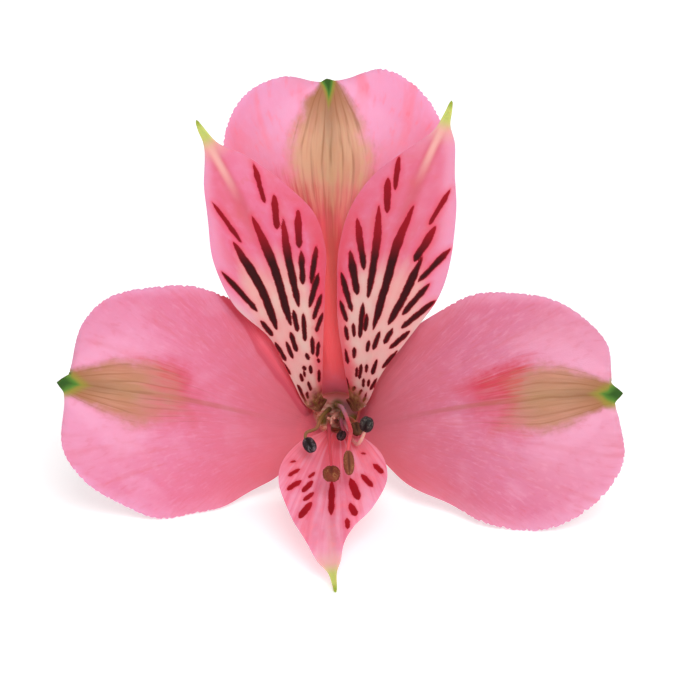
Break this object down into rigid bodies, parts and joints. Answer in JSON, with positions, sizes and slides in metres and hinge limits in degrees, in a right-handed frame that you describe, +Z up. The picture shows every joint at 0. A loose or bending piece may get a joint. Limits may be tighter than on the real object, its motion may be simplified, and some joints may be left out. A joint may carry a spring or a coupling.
{
  "type": "alstroemeria bloom",
  "caption": "Open alstroemeria bloom with free tepals, curved stamens, a ribbed ovary and its own flower stalk, lying as picked with its face tilted up.",
  "frame": {"origin": "middle of the footprint, on the surface that the bloom lies on", "axes": "+Z up; the bloom's face looks along -Y and tilts up; +X is to the right of whoever looks into the face; the flower stalk runs back along +Y"},
  "size_m": [0.0793, 0.1003, 0.0589],
  "materials": {
    "outer_tepal": "soft satin, lightly veined petal",
    "inner_tepal": "soft satin petal with dark dashes along its veins",
    "ovary": "smooth, waxy green",
    "stalk": "smooth, waxy green with a brown flush",
    "style": "smooth, moist",
    "filament": "smooth, moist",
    "anther": "matte, finely grained pollen sacs"
  },
  "bodies": {
    "root": {"outer_tepal_top": "outer_tepal", "outer_tepal_left": "outer_tepal", "outer_tepal_right": "outer_tepal", "inner_tepal_left": "inner_tepal", "inner_tepal_right": "inner_tepal", "inner_tepal_lower": "inner_tepal", "ovary": "ovary", "flower_stalk": "stalk", "style": "style", "filament_1": "filament", "filament_2": "filament", "filament_3": "filament", "filament_4": "filament", "filament_5": "filament", "filament_6": "filament", "anther_1": "anther", "anther_2": "anther", "anther_3": "anther", "anther_4": "anther", "anther_5": "anther", "anther_6": "anther"}
  },
  "joints": []
}
